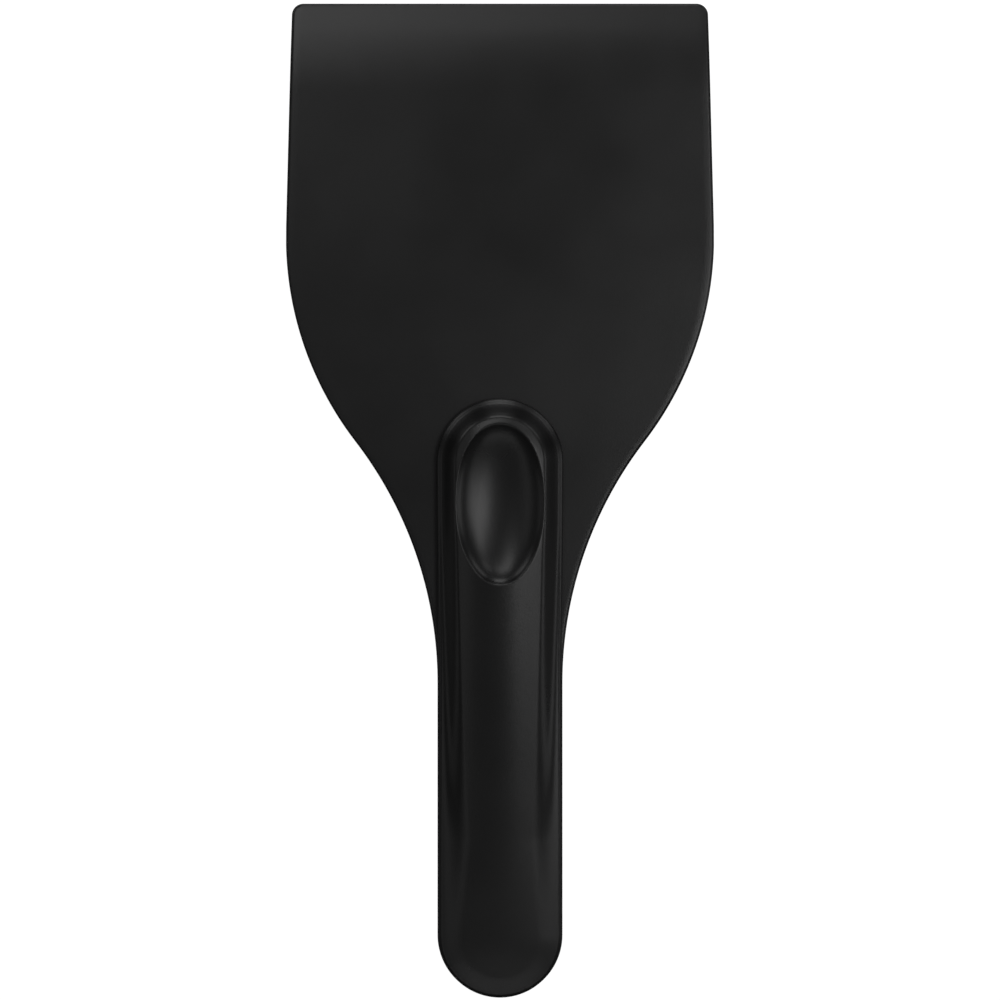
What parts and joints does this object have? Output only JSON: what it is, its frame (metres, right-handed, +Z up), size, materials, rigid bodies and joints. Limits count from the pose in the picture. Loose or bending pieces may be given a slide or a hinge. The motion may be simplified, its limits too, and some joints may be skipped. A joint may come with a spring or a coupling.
{
  "type": "ice scraper",
  "caption": "Hand-held windscreen ice scraper: wide flat blade with a bevelled scraping edge, shoulders narrowing to a straight rounded handle with a thumb recess.",
  "frame": {"origin": "middle of the whole scraper, on the plane of the handle's flat back", "axes": "+X across the blade, +Y along the handle towards the scraping edge, +Z up from the flat back to the front face"},
  "size_m": [0.0926, 0.215, 0.0186],
  "materials": {
    "blade": "satin black moulded plastic with a fine spark grain",
    "handle": "satin black moulded plastic with a fine spark grain",
    "screws": "zinc-plated steel"
  },
  "bodies": {
    "root": {"blade": "blade", "handle_front_shell": "handle", "handle_rear_shell": "handle", "screw_nose": "screws", "screw_middle": "screws", "screw_end": "screws"}
  },
  "joints": []
}
